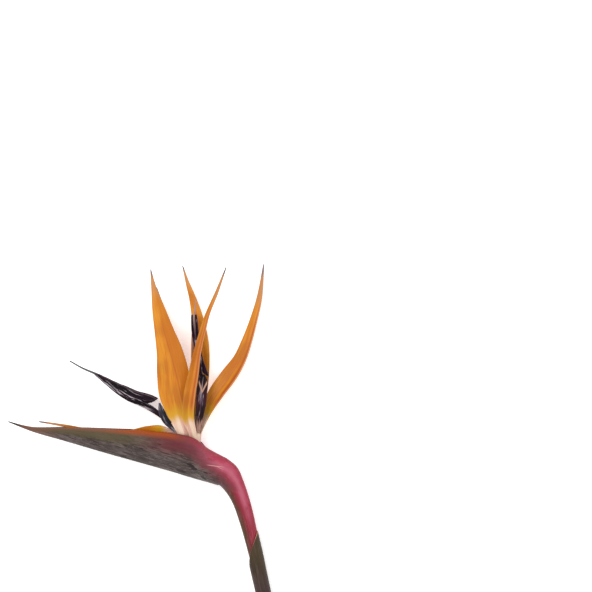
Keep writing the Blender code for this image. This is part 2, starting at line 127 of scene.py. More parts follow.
class Kit:
    """One material's node tree, with short ways to add nodes to it."""

    def __init__(self, name: str) -> None:
        """Make a new material with a plain Principled shader."""
        self.material = bpy.data.materials.new(name)
        self.material.use_nodes = True
        self.tree = self.material.node_tree
        self.shader = self.tree.nodes["Principled BSDF"]

    def node(self, kind: str, settings: Values = None, sockets: Values = None) -> bpy.types.Node:
        """Add a node, then its settings, then the values or links of its sockets.

        Args:
            kind: the node's type.
            settings: attributes to set on the node first.
            sockets: input name or index, to a Signal or a constant.

        Returns:
            The new node.
        """
        node = self.tree.nodes.new(kind)
        for key, value in (settings or {}).items():
            setattr(node, key, value)
        for key, value in (sockets or {}).items():
            self.feed(node.inputs[key], value)
        return node

    def read(self, kind: str, output: Any = 0, settings: Values = None,
             sockets: Values = None) -> Signal:
        """Add a node, and return one of its outputs by name or index."""
        return Signal(self, self.node(kind, settings, sockets).outputs[output])

    def feed(self, socket: bpy.types.NodeSocket, value: Any) -> None:
        """Link a Signal to a socket, or set the socket's own value."""
        if isinstance(value, Signal):
            self.tree.links.new(value.socket, socket)
        elif socket.type == "RGBA" and len(value) == 3:
            socket.default_value = (*value, 1.0)
        else:
            socket.default_value = value

    def math(self, operation: str, first: Any, second: Any = None) -> Signal:
        """Return a Math node's result."""
        sockets = {0: first} if second is None else {0: first, 1: second}
        return self.read("ShaderNodeMath", 0, {"operation": operation}, sockets)

    def smooth(self, value: Any, low: float, high: float) -> Signal:
        """Return a soft step from 0 at low to 1 at high, which may be the smaller number."""
        settings = {"interpolation_type": "SMOOTHSTEP"}
        sockets = {"Value": value, "From Min": low, "From Max": high}
        return self.read("ShaderNodeMapRange", 0, settings, sockets)

    def mix(self, share: Any, first: Any, second: Any) -> Signal:
        """Return a colour between first (share 0) and second (share 1)."""
        return self.read("ShaderNodeMix", 2, {"data_type": "RGBA"}, {0: share, 6: first, 7: second})

    def wash(self, colour: Any, *coats: tuple[Any, Any]) -> Signal:
        """Return the colour with coats laid over it in order, each a share and a colour."""
        for share, coat in coats:
            colour = self.mix(share, colour, coat)
        return colour

    def place(self) -> Signal:
        """Return the Object coordinates."""
        return self.read("ShaderNodeTexCoord", "Object")

    def grain(self) -> Signal:
        """Return the piece's own grain: metres along it and across it."""
        return self.read("ShaderNodeAttribute", "Vector", {"attribute_name": "grain"})

    def parts(self, vector: Signal) -> tuple[Signal, Signal, Signal]:
        """Return a vector's three numbers."""
        node = self.node("ShaderNodeSeparateXYZ", None, {0: vector})
        return tuple(Signal(self, output) for output in node.outputs)

    def uv(self) -> tuple[Signal, Signal]:
        """Return the piece's own share along (0 root, 1 tip) and share across."""
        return self.parts(self.read("ShaderNodeUVMap"))[:2]

    def stretch(self, vector: Signal, factors: Colour) -> Signal:
        """Return a vector with its three numbers scaled apart."""
        sockets = {0: vector, 1: factors}
        return self.read("ShaderNodeVectorMath", 0, {"operation": "MULTIPLY"}, sockets)

    def noise(self, vector: Signal, scale: float, detail: float = 3.0,
              roughness: float = 0.55) -> Signal:
        """Return soft noise, about 0.3 to 0.7."""
        sockets = {"Vector": vector, "Scale": scale, "Detail": detail, "Roughness": roughness}
        return self.read("ShaderNodeTexNoise", 0, None, sockets)

    def fibre(self, along: float, depth: float, scale: float, detail: float = 3.0,
              roughness: float = 0.55) -> Signal:
        """Return noise on the piece's own grain, drawn out along it.

        Args:
            along: the scale along the piece, as a part of the scale across it.
            depth: 1 to use the grain's third number, 0 to leave it out.
            scale: the scale across the piece.
            detail: the noise's detail.
            roughness: the noise's roughness.

        Returns:
            The noise, about 0.3 to 0.7.
        """
        return self.noise(self.stretch(self.grain(), (along, 1.0, depth)), scale, detail, roughness)

    def bump(self, height: Signal, strength: float, distance: float) -> None:
        """Feed a height through a Bump node into the shader's Normal."""
        sockets = {"Height": height, "Strength": strength, "Distance": distance}
        self.feed(self.shader.inputs["Normal"], self.read("ShaderNodeBump", 0, None, sockets))

    def finish(self, colour: Signal, roughness: Any, specular: float = 0.4) -> Material:
        """Feed the shader's colour, roughness and specular level.

        Args:
            colour: the base colour.
            roughness: a Signal or a constant.
            specular: the constant specular level.

        Returns:
            The finished material.
        """
        self.feed(self.shader.inputs["Base Color"], colour)
        self.feed(self.shader.inputs["Roughness"], roughness)
        self.feed(self.shader.inputs["Specular IOR Level"], specular)
        return self.material


# ---------------------------------------------------------------- finishes


class Side(Enum):
    """A side of a blade, as the sign of its share across."""

    NONE = 0.0
    PLUS = 1.0
    MINUS = -1.0


@dataclass(frozen=True)
class SepalFinish:
    """Orange sepal skin: cream claw, yellow flush, fine veins, pale rim and dry tip, with painted shade
    along the fold, over one side of it and next to the rim.

    Distances along are in millimetres from the sepal's first row.
    """

    name: str
    rim_side: Side = Side.NONE
    # The next three fields place painted shade: one side of the fold is coloured deep, as if turned from
    # the light.
    painted_shade_side: Side = Side.NONE
    painted_shade_from: float = 0.0
    painted_shade_share: float = 0.6
    light: Colour = (0.64, 0.240, 0.010)
    # Deep orange: random tone over the blade, and also the painted shade on one side of the fold.
    deep: Colour = (0.50, 0.140, 0.002)
    # Red: the veins, and also the painted shade along the fold and next to the rim.
    red: Colour = (0.36, 0.060, 0.002)
    cream: Colour = (0.76, 0.58, 0.43)
    bright: Colour = (0.92, 0.83, 0.72)
    blush: Colour = (0.64, 0.34, 0.26)
    yellow: Colour = (0.60, 0.33, 0.010)
    rim: Colour = (0.66, 0.30, 0.17)
    rim_share: float = 0.85
    edge: Colour = (0.30, 0.15, 0.03)
    tan: Colour = (0.46, 0.21, 0.09)
    dry: Colour = (0.10, 0.065, 0.062)
    green: Colour = (0.30, 0.20, 0.02)

    def build(self) -> Material:
        """Return the finished material."""
        kit = Kit(self.name)
        along, share = kit.uv()
        reach, _, fold = kit.parts(kit.grain())
        reach, fold = reach * TO_MM, fold * TO_MM
        across = share * 2.0 - 1.0
        vein = kit.fibre(0.035, 0.0, 1500.0, 4.0, 0.62)
        band = kit.fibre(0.10, 0.0, 210.0, 2.0)
        broad = kit.noise(kit.place(), 42.0, 2.0)
        colour = kit.wash(
            self.light,
            (kit.smooth(band * 0.5 + broad * 0.35 + vein * 0.25, 0.45, 0.66), self.deep),
            (kit.smooth(vein, 0.54, 0.70) * 0.35, self.red),
            (kit.smooth(broad + vein * 0.1, 0.60, 0.72) * 0.10, self.green),
            # Painted shade along the fold and over one side of it.
            *self.painted_fold_shade_coats(kit, fold, along, band),
            *self.edge_coats(kit, across, reach, along, band),
            *self.base_coats(kit, reach, vein, band),
            *self.tip_coats(kit, along, across, vein))
        kit.bump(vein + band * 0.7, 0.5, 0.0004)
        return kit.finish(colour, 0.40 + vein * 0.16, 0.32)

    def painted_fold_shade_coats(self, kit: Kit, fold: Signal, along: Signal, band: Signal) -> Coats:
        """Paint shade along the fold as a thin darker line, and paint shade over one side of it."""
        # Painted shade: a thin darker line where the crease of the fold would lie in shadow.
        line = kit.smooth(abs(fold + band * 0.06 - 0.03), 0.075, 0.01)
        fade = kit.smooth(along, 0.06, 0.2) * kit.smooth(along, 0.85, 0.55)
        coats = [(line * fade * 0.5, self.red)]
        # Painted shade: the side of the fold turned from the light is coloured deep.
        if self.painted_shade_side is not Side.NONE:
            turned = fold * self.painted_shade_side.value + band * 0.2 - 0.1
            far = kit.smooth(turned, self.painted_shade_from, self.painted_shade_from + 0.16)
            near = kit.smooth(along, 0.03, 0.14) * kit.smooth(along, 0.92, 0.62)
            coats.append((far * near * self.painted_shade_share, self.deep))
        return coats

    def edge_coats(self, kit: Kit, across: Signal, reach: Signal, along: Signal,
                   band: Signal) -> Coats:
        """Dull both edges, and paint one side's curled rim pale, with a painted shade line just inside it
        where the curled margin would shade the blade.
        """
        coats = [(kit.smooth(abs(across), 0.955, 0.995) * 0.55, self.edge)]
        if self.rim_side is not Side.NONE:
            turned = across * self.rim_side.value + band * 0.12 - 0.06
            run = kit.smooth(reach, 4.0, 22.0) * kit.smooth(along, 0.98, 0.72)
            # Painted shade: a deep red band just inside the pale rim.
            painted_rim_shade = kit.smooth(turned, 0.30, 0.62) * kit.smooth(turned, 0.82, 0.72)
            coats += [(painted_rim_shade * run * 0.75, self.red),
                      (kit.smooth(turned, 0.76, 0.86) * run * self.rim_share, self.rim)]
        return coats

    def base_coats(self, kit: Kit, reach: Signal, vein: Signal, band: Signal) -> Coats:
        """Run the claw from blushed cream, through olive yellow, into the orange."""
        ragged = reach + band * 9.0 + vein * 7.0 - 8.0
        base = kit.wash(self.cream,
                        (kit.smooth(band * 0.6 + vein * 0.4, 0.42, 0.60), self.blush),
                        (kit.smooth(vein, 0.50, 0.64) * 0.6, self.bright))
        return [(kit.smooth(ragged, 27.0, 14.0) * 0.8, self.yellow),
                (kit.smooth(ragged, 16.0, 8.0), base)]

    def tip_coats(self, kit: Kit, along: Signal, across: Signal, vein: Signal) -> Coats:
        """Turn the last stretch tan, then grey-brown at the very point."""
        edge = abs(across) * 0.05
        return [(kit.smooth(along + vein * 0.06 + edge, 0.84, 0.97) * 0.75, self.tan),
                (kit.smooth(along + vein * 0.02 + edge * 0.5, 0.955, 0.995), self.dry)]

@dataclass(frozen=True)
class PetalFinish:
    """Blue-violet petal skin, near black, with creases and painted highlights: silvery glint streaks
    along its ridges.

    Distances along are in millimetres from the petal's first row.
    """

    name: str
    dark: Colour = (0.003, 0.001, 0.003)
    plum: Colour = (0.016, 0.005, 0.013)
    # The streak colour is a painted highlight: glints of gloss along the ridges.
    streak: Colour = (0.58, 0.50, 0.55)
    edge: Colour = (0.11, 0.065, 0.085)
    foot: Colour = (0.44, 0.25, 0.19)
    painted_glint_share: float = 0.7
    painted_glint_from: float = 0.3
    foot_end: float = 7.0
    crest: bool = False
    crest_pale: Colour = (0.62, 0.36, 0.24)
    crest_blue: Colour = (0.20, 0.17, 0.30)

    def build(self) -> Material:
        """Return the finished material."""
        kit = Kit(self.name)
        along, share = kit.uv()
        reach, offset, _ = kit.parts(kit.grain())
        reach, offset = reach * TO_MM, offset * TO_MM
        side = abs(share * 2.0 - 1.0)
        crease = kit.fibre(0.05, 0.0, 950.0, 4.0, 0.6)
        broad = kit.fibre(0.35, 0.0, 170.0)
        glint = kit.fibre(0.07, 0.0, 620.0, 3.0, 0.7)
        # Painted highlight: thin glint lines, laid on from a set share along the petal.
        line = kit.smooth(glint + broad * 0.30, 0.725, 0.78)
        zone = kit.smooth(along, self.painted_glint_from, self.painted_glint_from + 0.15)
        ragged = reach + crease * 26.0 - 13.0
        crest = self.crest_coats(kit, along, side, offset, crease) if self.crest else []
        colour = kit.wash(
            self.dark,
            (kit.smooth(crease * 0.5 + broad * 0.5, 0.44, 0.62), self.plum),
            (line * zone * self.painted_glint_share, self.streak),
            (kit.smooth(side + crease * 0.10, 0.97, 1.05) * 0.7, self.edge),
            *crest,
            (kit.smooth(ragged, self.foot_end, self.foot_end * 0.55) * 0.85, self.foot))
        kit.bump(crease + broad * 0.5, 0.8, 0.0006)
        return kit.finish(colour, 0.34 + crease * 0.2, 0.14)

    def crest_coats(self, kit: Kit, along: Signal, side: Signal, offset: Signal,
                    crease: Signal) -> Coats:
        """Paint a pale V near the hood's top, and a thin blue line down from it."""
        arm = abs(along - 0.68 - side * 0.17)
        v_mark = kit.smooth(arm + crease * 0.02, 0.05, 0.018) * kit.smooth(side, 1.0, 0.75)
        line = kit.smooth(abs(offset), 0.40, 0.12) * kit.smooth(along, 0.69, 0.66)
        return [(v_mark, self.crest_pale),
                (line * kit.smooth(along, 0.35, 0.6) * 0.7, self.crest_blue)]


@dataclass(frozen=True)
class Scar:
    """A dark or pale mark on the skin: its place, length, width and heading."""

    east: float
    north: float
    length: float
    width: float
    heading: float = -17.0

    def mask(self, kit: Kit, east: Signal, north: Signal, rough: Signal) -> Signal:
        """Return 1 inside an ellipse with a ragged edge, 0 outside."""
        turn = math.radians(self.heading)
        x, y = east - self.east, north - self.north
        along = (x * math.cos(turn) + y * math.sin(turn)) * (2.0 / self.length)
        across = (y * math.cos(turn) - x * math.sin(turn)) * (2.0 / self.width)
        return kit.smooth(along * along + across * across + rough, 1.5, 0.8)


DARK_SCARS = (
    Scar(-50.0, -4.6, 5.0, 1.6), Scar(1.0, -10.6, 6.0, 2.0, -25.0), Scar(3.6, -13.4, 4.6, 1.6, -10.0),
    Scar(10.5, -20.5, 5.0, 1.5, -30.0), Scar(-6.5, -15.6, 7.0, 2.1), Scar(-14.0, -13.9, 4.0, 0.7),
    Scar(-36.0, 2.0, 3.4, 0.8), Scar(12.0, -16.0, 4.0, 0.9, -20.0), Scar(-88.0, 9.0, 6.0, 0.7),
    Scar(-70.0, 6.5, 5.0, 0.8), Scar(-22.0, 5.0, 3.0, 0.6),
)
PALE_SCARS = (Scar(19.4, -11.2, 12.5, 0.55, -9.0), Scar(23.0, -12.8, 5.0, 0.35, -24.0))


@dataclass(frozen=True)
class StalkFinish:
    """Skin that runs from the red stem through the crimson neck into the mottled spathe."""

    name: str
    flank: Colour = (0.066, 0.047, 0.041)
    flank_light: Colour = (0.190, 0.148, 0.138)
    flank_dark: Colour = (0.015, 0.010, 0.009)
    plum: Colour = (0.115, 0.018, 0.024)
    mauve: Colour = (0.160, 0.036, 0.048)
    green: Colour = (0.074, 0.055, 0.022)
    rim: Colour = (0.330, 0.062, 0.008)
    bronze: Colour = (0.175, 0.070, 0.042)
    tip: Colour = (0.022, 0.017, 0.014)
    speck: Colour = (0.016, 0.007, 0.009)
    crimson: Colour = (0.360, 0.028, 0.062)
    # Pink colour of the painted highlight on the neck.
    rose_highlight: Colour = (0.470, 0.120, 0.175)
    red: Colour = (0.210, 0.014, 0.024)
    umber: Colour = (0.140, 0.026, 0.024)
    olive: Colour = (0.066, 0.032, 0.012)
    grey: Colour = (0.150, 0.110, 0.090)
    pale: Colour = (0.62, 0.30, 0.28)
    cut: Colour = (0.40, 0.36, 0.18)
    cut_dark: Colour = (0.20, 0.15, 0.06)
    cut_from: float = -194.6

    def build(self) -> Material:
        """Return the finished material."""
        kit = Kit(self.name)
        _, height = kit.uv()
        east, north, _ = kit.parts(kit.place())
        east, north = east * TO_MM, north * TO_MM
        streak = kit.fibre(0.03, 1.0, 1700.0, 5.0, 0.68)
        dash = kit.fibre(0.16, 1.0, 900.0, 5.0, 0.72)
        blotch = kit.fibre(0.45, 1.0, 120.0, 4.0, 0.62)
        reach = east + north * 0.74 + blotch * 12.0 - 6.0
        flush = kit.smooth(reach + height * 9.0 + dash * 26.0 - 13.0, -1.0, 15.0)
        at_neck = kit.smooth(reach + height * 5.0, 6.0, 21.0)
        low = kit.smooth(north, -26.0, -32.0)
        rough = blotch * 0.9 + dash * 0.8 - 0.85
        fibre = kit.noise(kit.place(), 1400.0, 3.0)
        flesh = kit.mix(kit.smooth(fibre, 0.50, 0.60), self.cut, self.cut_dark)
        colour = kit.wash(
            self.spathe_colour(kit, east, height, streak, dash, blotch),
            (flush * 0.8, self.mauve),
            (kit.math("MAXIMUM", at_neck, low), self.neck_colour(kit, north, height, streak, blotch)),
            *[(scar.mask(kit, east, north, rough) * 0.85, self.speck) for scar in DARK_SCARS],
            *[(scar.mask(kit, east, north, rough * 0.7) * 0.8, self.pale) for scar in PALE_SCARS],
            (kit.smooth(north, self.cut_from, self.cut_from - 0.3), flesh))
        kit.bump(streak * 0.6 + dash * 0.5, 0.5, 0.0004)
        return kit.finish(colour, 0.42 + dash * 0.2, 0.18)

    def spathe_colour(self, kit: Kit, east: Signal, height: Signal, streak: Signal,
                      dash: Signal, blotch: Signal) -> Signal:
        """Return the flank's colour: grey-brown streaks, green band, red rim and dark tip."""
        inward = kit.smooth(east, -52.0, -8.0)
        outward = kit.smooth(east, -14.0, -58.0)
        purple = kit.smooth(height + blotch * 0.40 + dash * 0.2, 0.66, 1.04)
        band = kit.smooth(height + blotch * 0.3 + outward * 0.12, 0.66, 0.98)
        rim = kit.smooth(height + streak * 0.10, 0.84, 1.03)
        return kit.wash(
            self.flank,
            (kit.smooth(blotch, 0.46, 0.66) * 0.7, self.flank_light),
            (kit.smooth(dash, 0.53, 0.60) * 0.75, self.flank_light),
            (kit.smooth(streak, 0.50, 0.57) * 0.8, self.flank_dark),
            (kit.smooth(dash + blotch * 0.3, 0.74, 0.80) * 0.6, self.speck),
            (purple * inward * 0.95, self.plum),
            (band * outward * 0.9, self.green),
            (rim * outward, self.bronze),
            (rim * kit.smooth(east, -75.0, -35.0), self.rim),
            (kit.smooth(east + blotch * 16.0, -84.0, -112.0) * 0.7, self.bronze),
            (kit.smooth(east, -122.0, -133.0), self.tip))

    def neck_colour(self, kit: Kit, north: Signal, height: Signal, streak: Signal,
                    blotch: Signal) -> Signal:
        """Return the neck's colour: olive and umber inside the bend, then crimson, a pink painted
        highlight along the bend, and red.
        """
        place = height + streak * 0.16 + blotch * 0.26 - 0.21
        # Painted highlight: a pink band along the middle of the neck, fading lower down.
        neck_highlight_band = kit.smooth(place, 0.42, 0.70) * kit.smooth(place, 0.92, 0.70)
        neck_highlight_band = neck_highlight_band * (1.0 - kit.smooth(north, -42.0, -64.0) * 0.7)
        return kit.wash(
            self.crimson,
            (neck_highlight_band * 0.85, self.rose_highlight),
            (kit.smooth(north, -34.0, -66.0) * 0.75, self.red),
            (kit.smooth(height, 0.88, 0.98) * 0.6, self.red),
            (kit.smooth(place, 0.64, 0.24) * 0.95, self.umber),
            (kit.smooth(place, 0.40, 0.08), self.olive),
            (kit.smooth(height, 0.05, 0.01) * 0.15, self.grey),
            # Painted highlight in pink streaks, broken up by the streak noise.
            (kit.smooth(streak, 0.54, 0.62) * 0.35, self.rose_highlight),
            (kit.smooth(blotch + streak * 0.6, 0.84, 0.98) * 0.45, self.red))


@dataclass(frozen=True)
class SheathFinish:
    """Brown-green bract skin with long veins and a pale dry margin."""

    name: str = "sheath_bract"
    green: Colour = (0.064, 0.042, 0.018)
    brown: Colour = (0.018, 0.010, 0.008)
    mauve: Colour = (0.048, 0.026, 0.025)
    pale: Colour = (0.088, 0.064, 0.046)
    margin: Colour = (0.50, 0.25, 0.17)

    def build(self) -> Material:
        """Return the finished material."""
        kit = Kit(self.name)
        _, edge = kit.uv()
        _, north, _ = kit.parts(kit.place())
        vein = kit.fibre(0.03, 1.0, 1500.0, 5.0, 0.65)
        blotch = kit.fibre(0.25, 1.0, 120.0)
        colour = kit.wash(
            self.brown,
            (kit.smooth(blotch, 0.40, 0.60), self.mauve),
            (kit.smooth(north * TO_MM + blotch * 20.0, -92.0, -66.0) * 0.8, self.green),
            (kit.smooth(vein, 0.48, 0.66) * 0.6, self.pale),
            (kit.smooth(edge, 0.55, 0.95) * 0.45, self.green),
            (kit.smooth(edge + vein * 0.08, 0.93, 0.98), self.margin))
        kit.bump(vein, 0.6, 0.0004)
        return kit.finish(colour, 0.44 + vein * 0.2, 0.18)


@dataclass(frozen=True)
class FleshFinish:
    """Pale moist flesh of the floral tubes, with pink streaks."""

    name: str = "floret_flesh"
    cream: Colour = (0.66, 0.50, 0.37)
    pink: Colour = (0.58, 0.30, 0.24)

    def build(self) -> Material:
        """Return the finished material."""
        kit = Kit(self.name)
        along, _ = kit.uv()
        streak = kit.fibre(0.1, 1.0, 700.0)
        share = kit.smooth(streak - along * 0.12, 0.36, 0.58)
        kit.bump(streak, 0.4, 0.0004)
        return kit.finish(kit.mix(share, self.cream, self.pink), 0.42 + streak * 0.1, 0.4)


@dataclass(frozen=True)
class StrandFinish:
    """Skin of a thin strand: one colour at the root, another at the tip."""

    name: str
    root: Colour
    tip: Colour
    roughness: float = 0.5

    def build(self) -> Material:
        """Return the finished material."""
        kit = Kit(self.name)
        along, _ = kit.uv()
        fleck = kit.noise(kit.place(), 1500.0, 3.0)
        colour = kit.wash(self.root,
                          (kit.smooth(along + fleck * 0.2, 0.25, 0.85), self.tip),
                          (kit.smooth(fleck, 0.55, 0.70) * 0.3, self.root))
        kit.bump(fleck, 0.5, 0.0003)
        return kit.finish(colour, self.roughness, 0.35)


# ---------------------------------------------------------------- mesh helpers


def smooth_path(points: Any, at: Array) -> Array:
    """Catmull-Rom values along rows of points: each span is a cubic through its two ends.

    Args:
        points: n rows of k numbers, or n numbers.
        at: shares 0..1 of the whole path.

    Returns:
        One row of k numbers for each share.
    """
    rows = np.asarray(points, dtype=float)
    flat = rows.ndim == 1
    rows = rows[:, None] if flat else rows
    last = len(rows) - 1
    place = np.clip(at, 0.0, 1.0) * last
    index = np.minimum(place.astype(int), last - 1)
    t = (place - index)[:, None]
    p0 = rows[np.maximum(index - 1, 0)]
    p1 = rows[index]
    p2 = rows[index + 1]
    p3 = rows[np.minimum(index + 2, last)]
    value = 0.5 * (2 * p1 + (p2 - p0) * t + (2 * p0 - 5 * p1 + 4 * p2 - p3) * t ** 2
                   + (3 * p1 - p0 - 3 * p2 + p3) * t ** 3)
    return value[:, 0] if flat else value


def unit(vectors: Array) -> Array:
    """Return the vectors scaled to length 1."""
    return vectors / np.maximum(np.linalg.norm(vectors, axis=-1, keepdims=True), 1e-9)


def soft_step(value: Array) -> Array:
    """Return 3x^2 - 2x^3 of the value clipped to 0..1."""
    x = np.clip(value, 0.0, 1.0)
    return x * x * (3.0 - 2.0 * x)


@dataclass
class Grid:
    """A surface as a grid, rows x columns, of points, UVs and grain.

    Points and grain are in millimetres. The grain is the distance along the piece, and two
    numbers that place a point across it.
    """

    points: Array
    uv: Array
    grain: Array

    def flat(self) -> list[Array]:
        """Return the three as plain lists of points."""
        return [part.reshape(-1, part.shape[-1]) for part in (self.points, self.uv, self.grain)]


def loop_faces(rows: int, columns: int) -> Array:
    """Return quads between rings that close on themselves and turn right-handed."""
    i, j = np.meshgrid(np.arange(rows - 1), np.arange(columns), indexing="ij")
    a, b = (i * columns + j).ravel(), (i * columns + (j + 1) % columns).ravel()
    return np.stack([a, b, b + columns, a + columns], axis=1)


def run_length(points: Array) -> Array:
    """Return the distance along the points, 0 at the first of them."""
    return np.concatenate([[0.0], np.cumsum(np.linalg.norm(np.diff(points, axis=0), axis=1))])


def around(count: int) -> Array:
    """Return angles evenly spaced round a full turn."""
    return np.linspace(0.0, FULL_TURN, count, endpoint=False)


def make_mesh(name: str, corners: list[Array], faces: Array, sharp: float = 60.0) -> Piece:
    """Make a smooth-shaded object, and turn its millimetres into metres.

    Args:
        name: the piece's name.
        corners: the points, their UVs and their grain, one row a point.
        faces: quads, as rows of four point numbers.
        sharp: the angle in degrees past which an edge stays sharp.

    Returns:
        The new object, linked to the scene.
    """
    points, uv, grain = corners
    mesh = bpy.data.meshes.new(name)
    mesh.from_pydata((points * MM).tolist(), [], faces.tolist())
    loops = np.empty(len(mesh.loops), dtype=np.int32)
    mesh.loops.foreach_get("vertex_index", loops)
    layer = mesh.uv_layers.new(name="UVMap")
    layer.data.foreach_set("uv", uv[loops].astype(np.float32).ravel())
    own = mesh.attributes.new("grain", "FLOAT_VECTOR", "POINT")
    own.data.foreach_set("vector", (grain * MM).astype(np.float32).ravel())
    mesh.validate()
    mesh.shade_smooth()
    mesh.set_sharp_from_angle(angle=math.radians(sharp))
    piece = bpy.data.objects.new(name, mesh)
    bpy.context.scene.collection.objects.link(piece)
    return piece


def sheet(name: str, grid: Grid, thick: Array) -> Piece:
    """Give an open grid two faces, half the thickness to each side, and closed edges.

    Args:
        name: the piece's name.
        grid: the middle surface.
        thick: rows x columns thicknesses.

    Returns:
        The closed sheet.
    """
    down, right = np.gradient(grid.points, axis=(0, 1))
    out = unit(np.cross(down, right)) * thick[..., None] * 0.5
    index = np.arange(thick.size).reshape(thick.shape)
    top = np.stack([index[:-1, :-1], index[1:, :-1], index[1:, 1:], index[:-1, 1:]], axis=-1)
    top = top.reshape(-1, 4)
    edge = np.concatenate([index[0, :-1], index[:-1, -1], index[-1, :0:-1], index[:0:-1, 0]])
    ahead = np.roll(edge, -1)
    strip = np.stack([edge, ahead, ahead + index.size, edge + index.size], axis=1)
    # The far half starts a corner on, so that opposite edges split alike into triangles.
    half = len(edge) // 2
    strip[half:] = np.roll(strip[half:], -1, axis=1)
    faces = np.concatenate([top, top[:, ::-1] + index.size, strip])
    both = Grid(np.stack([grid.points + out, grid.points - out]), np.stack([grid.uv] * 2),
                np.stack([grid.grain] * 2))
    return make_mesh(name, both.flat(), faces)


def tube(name: str, centre: Array, axes: tuple[Array, Array], oval: tuple[Array, Array],
         shares: tuple[Array, Array], run: Array, sharp: float = 60.0) -> Piece:
    """Make a closed tube of rings, with a quad-fan cap on each end.

    A point of a ring is the centre, plus x times the sideways axis, plus y times the upward one.

    Args:
        name: the piece's name.
        centre: a point for each ring.
        axes: the sideways and the upward unit vector of each ring.
        oval: x and y, rings x columns.
        shares: the UVs, as one number for each ring and one for each column.
        run: the distance along of each ring, in millimetres.
        sharp: the angle in degrees past which an edge stays sharp.

    Returns:
        The closed tube.
    """
    x, y = oval
    side, up = axes
    rings = centre[:, None] + side[:, None] * x[..., None] + up[:, None] * y[..., None]
    uv = np.stack(np.broadcast_arrays(shares[0][:, None], shares[1][None]), axis=-1)
    grain = np.stack(np.broadcast_arrays(run[:, None], x, y), axis=-1)
    rows, columns = x.shape
    hub = rows * columns
    end = hub - columns
    j = np.arange(0, columns, 2)
    k1, k2 = (j + 1) % columns, (j + 2) % columns
    faces = [loop_faces(rows, columns), np.stack([np.full_like(j, hub), k2, k1, j], axis=1),
             np.stack([np.full_like(j, hub + 1), j + end, k1 + end, k2 + end], axis=1)]
    corners = [np.concatenate([part.reshape(hub, -1), part[:1].mean(1), part[-1:].mean(1)])
               for part in (rings, uv, grain)]
    return make_mesh(name, corners, np.concatenate(faces), sharp)


def square_axes(tangent: Array) -> tuple[Array, Array]:
    """Return level and upward unit vectors: up x tangent, and tangent x that."""
    side = unit(np.cross(np.array([0.0, 0.0, 1.0]), tangent))
    return side, np.cross(tangent, side)


# ---------------------------------------------------------------- blades


